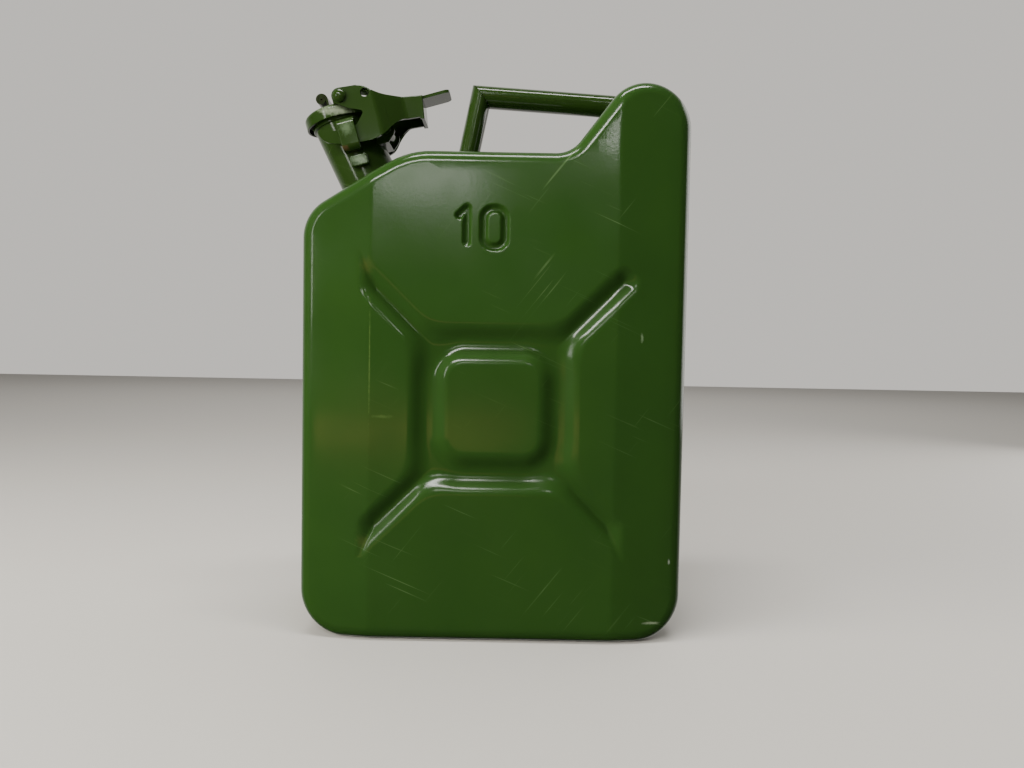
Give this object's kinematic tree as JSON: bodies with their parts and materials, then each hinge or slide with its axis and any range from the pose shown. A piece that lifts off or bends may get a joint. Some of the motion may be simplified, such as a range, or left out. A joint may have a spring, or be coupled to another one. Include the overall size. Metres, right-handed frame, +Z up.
{
  "type": "jerry can",
  "caption": "Green steel jerry can with pressed sides, a leaning filler neck, a hinged sealed lid clamped by a hooked lever, and a carrying handle.",
  "frame": {"origin": "middle of the bounding box in plan, on the plane of the base", "axes": "+Z up, +X along the can from the spout to the rear lobe, +Y through the thickness, away from the face in the picture"},
  "size_m": [0.268, 0.135, 0.3842],
  "materials": {
    "green_enamel": "glossy green enamel on sheet steel, scuffed at the edges",
    "seal_rubber": "matt black rubber",
    "zinced_steel": "dull zinc plating"
  },
  "bodies": {
    "can": {"shell_near": "green_enamel", "shell_far": "green_enamel", "filler_neck": "green_enamel", "neck_strap_near": "green_enamel", "neck_strap_far": "green_enamel", "spout_lug_near": "green_enamel", "spout_lug_far": "green_enamel", "hinge_bracket": "green_enamel", "hinge_pin": "green_enamel", "handle_leg": "green_enamel", "handle_grip": "green_enamel", "vent_tube": "zinced_steel"},
    "lid": {"lid": "green_enamel", "lid_gasket": "seal_rubber", "lid_bridge": "green_enamel", "bridge_rivet_front": "green_enamel", "bridge_rivet_rear": "green_enamel", "lever_rivet_near": "green_enamel", "lever_rivet_far": "green_enamel"},
    "lever": {"lever": "green_enamel"}
  },
  "joints": [
    {"name": "lid_hinge", "type": "hinge", "parent": "can", "child": "lid", "pos_m": [-0.07442, 0, 0.34833], "axis": [0, 1, 0], "range_deg": [0, 70]},
    {"name": "lever_pivot", "type": "hinge", "parent": "lid", "child": "lever", "pos_m": [-0.10439, 0, 0.3672], "axis": [0, -1, 0], "range_deg": [0, 140]}
  ],
  "couplings": [
    {"joint": "lever_pivot", "follows": "lid_hinge", "ratio": 2}
  ]
}
